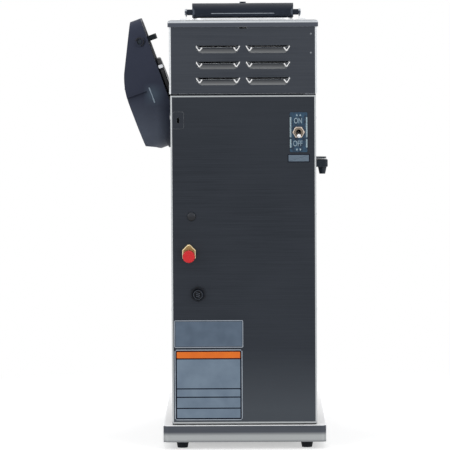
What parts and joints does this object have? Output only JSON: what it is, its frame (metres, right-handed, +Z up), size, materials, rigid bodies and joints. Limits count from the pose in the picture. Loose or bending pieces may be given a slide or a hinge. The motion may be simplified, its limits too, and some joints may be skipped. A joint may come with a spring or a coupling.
{
  "type": "airpot coffee brewer",
  "caption": "Drip coffee brewer with a louvred steel hood and trunk, sliding brew funnel, hinged pour-in lid, rear switch and fittings, and an open pump airpot.",
  "frame": {"origin": "centre of the trunk's width at counter height, level with the back of the airpot bay", "axes": "+Z up; +Y to the louvred rear panel; the hood and funnel face -Y; +X to the airpot lid's hinge"},
  "size_m": [0.3006, 0.491, 0.6252],
  "materials": {
    "trunk_steel": "brushed, satin",
    "cover_steel": "brushed, bright edge",
    "base_steel": "brushed, satin",
    "inner_steel": "mill finish",
    "chrome": "polished",
    "pot_steel": "brushed, satin",
    "black_plastic": "moulded, satin",
    "lever_plastic": "moulded, semi-gloss",
    "rocker_plastic": "moulded, gloss",
    "black_rubber": "matt",
    "grey_rubber": "matt",
    "blue_plate": "satin",
    "brass": "machined",
    "red_plastic": "moulded",
    "lamp_plastic": "translucent look",
    "board_green": "coated",
    "coil_plastic": "moulded"
  },
  "bodies": {
    "brewer": {"base_pan": "base_steel", "brew_pipe": "inner_steel", "brew_switch_frame": "black_plastic", "control_board": "board_green", "cord_gland": "black_plastic", "drain_pipe": "inner_steel", "feet": "black_rubber", "fill_pipe": "inner_steel", "fill_valve": "brass", "front_panel": "trunk_steel", "funnel_rails": "inner_steel", "gland_nut": "black_plastic", "heating_element": "inner_steel", "hole_plug": "black_rubber", "hood_floor": "inner_steel", "inlet_fitting": "brass", "limit_thermostat": "coil_plastic", "pour_basin": "cover_steel", "pour_brackets": "cover_steel", "pour_pins": "chrome", "power_switch_frame": "black_plastic", "ready_lamp": "lamp_plastic", "rear_panel": "trunk_steel", "spray_head": "inner_steel", "spray_nut": "inner_steel", "tank": "inner_steel", "tank_gasket": "grey_rubber", "tank_lid": "inner_steel", "tank_stand": "inner_steel", "terminal_block": "coil_plastic", "toggle_body": "black_plastic", "toggle_nut": "chrome", "toggle_plate": "blue_plate", "top_cover": "cover_steel", "trunk_deck": "trunk_steel", "trunk_shell": "trunk_steel", "upper_shroud": "trunk_steel", "valve_coil": "coil_plastic"},
    "airpot": {"airpot_ring": "black_plastic", "airpot_body": "pot_steel", "airpot_liner": "pot_steel", "airpot_liner_cushion": "black_rubber", "airpot_collar": "black_plastic", "airpot_spout": "black_plastic", "airpot_hinge_pin": "chrome"},
    "airpot_lid": {"airpot_lid_shell": "black_plastic", "airpot_lid_floor": "black_plastic", "airpot_lid_stopper": "grey_rubber", "airpot_pump_bellows": "black_rubber", "airpot_lever_pin": "chrome"},
    "pump_lever": {"airpot_pump_lever": "lever_plastic"},
    "lid_latch": {"airpot_lid_latch": "black_plastic"},
    "brew_funnel": {"funnel": "black_plastic", "funnel_handle": "black_plastic"},
    "pour_cover": {"pour_lid": "black_plastic"},
    "heater_toggle": {"toggle_lever": "chrome"},
    "brew_button": {"brew_rocker": "rocker_plastic"},
    "power_button": {"power_rocker": "rocker_plastic"},
    "dust_cap": {"inlet_cap": "red_plastic"}
  },
  "joints": [
    {"name": "funnel_slide", "type": "slide", "parent": "brewer", "child": "brew_funnel", "axis": [0, -1, 0], "range_m": [0, 0.2]},
    {"name": "airpot_slide", "type": "slide", "parent": "brewer", "child": "airpot", "axis": [0, -1, 0], "range_m": [0, 0.25]},
    {"name": "airpot_lid_hinge", "type": "hinge", "parent": "airpot", "child": "airpot_lid", "pos_m": [0.084, -0.112, 0.418], "axis": [0, 1, 0], "range_deg": [-4.5, 0]},
    {"name": "pump_lever_hinge", "type": "hinge", "parent": "airpot_lid", "child": "pump_lever", "pos_m": [0.17263, -0.112, 0.49748], "axis": [0, -1, 0], "range_deg": [0, 7], "stiffness_Nm_per_rad": 0.6, "springref_deg": -11.46},
    {"name": "lid_latch_pivot", "type": "hinge", "parent": "airpot_lid", "child": "lid_latch", "pos_m": [0.15103, -0.112, 0.56707], "axis": [0, 1, 0], "range_deg": [0, 12], "stiffness_Nm_per_rad": 0.05, "springref_deg": -17.19},
    {"name": "pour_lid_hinge", "type": "hinge", "parent": "brewer", "child": "pour_cover", "pos_m": [0, -0.066, 0.60975], "axis": [-1, 0, 0], "range_deg": [0, 92]},
    {"name": "heater_toggle_pivot", "type": "hinge", "parent": "brewer", "child": "heater_toggle", "pos_m": [-0.077, 0.213, 0.443], "axis": [1, 0, 0], "range_deg": [0, 25]},
    {"name": "brew_rocker_pivot", "type": "hinge", "parent": "brewer", "child": "brew_button", "pos_m": [0.042, -0.206, 0.557], "axis": [-1, 0, 0], "range_deg": [0, 14], "stiffness_Nm_per_rad": 0.05, "springref_deg": -17.19},
    {"name": "power_rocker_pivot", "type": "hinge", "parent": "brewer", "child": "power_button", "pos_m": [-0.042, -0.206, 0.557], "axis": [-1, 0, 0], "range_deg": [0, 14]},
    {"name": "inlet_cap_slide", "type": "slide", "parent": "brewer", "child": "dust_cap", "axis": [0, 1, 0], "range_m": [0, 0.015]}
  ]
}
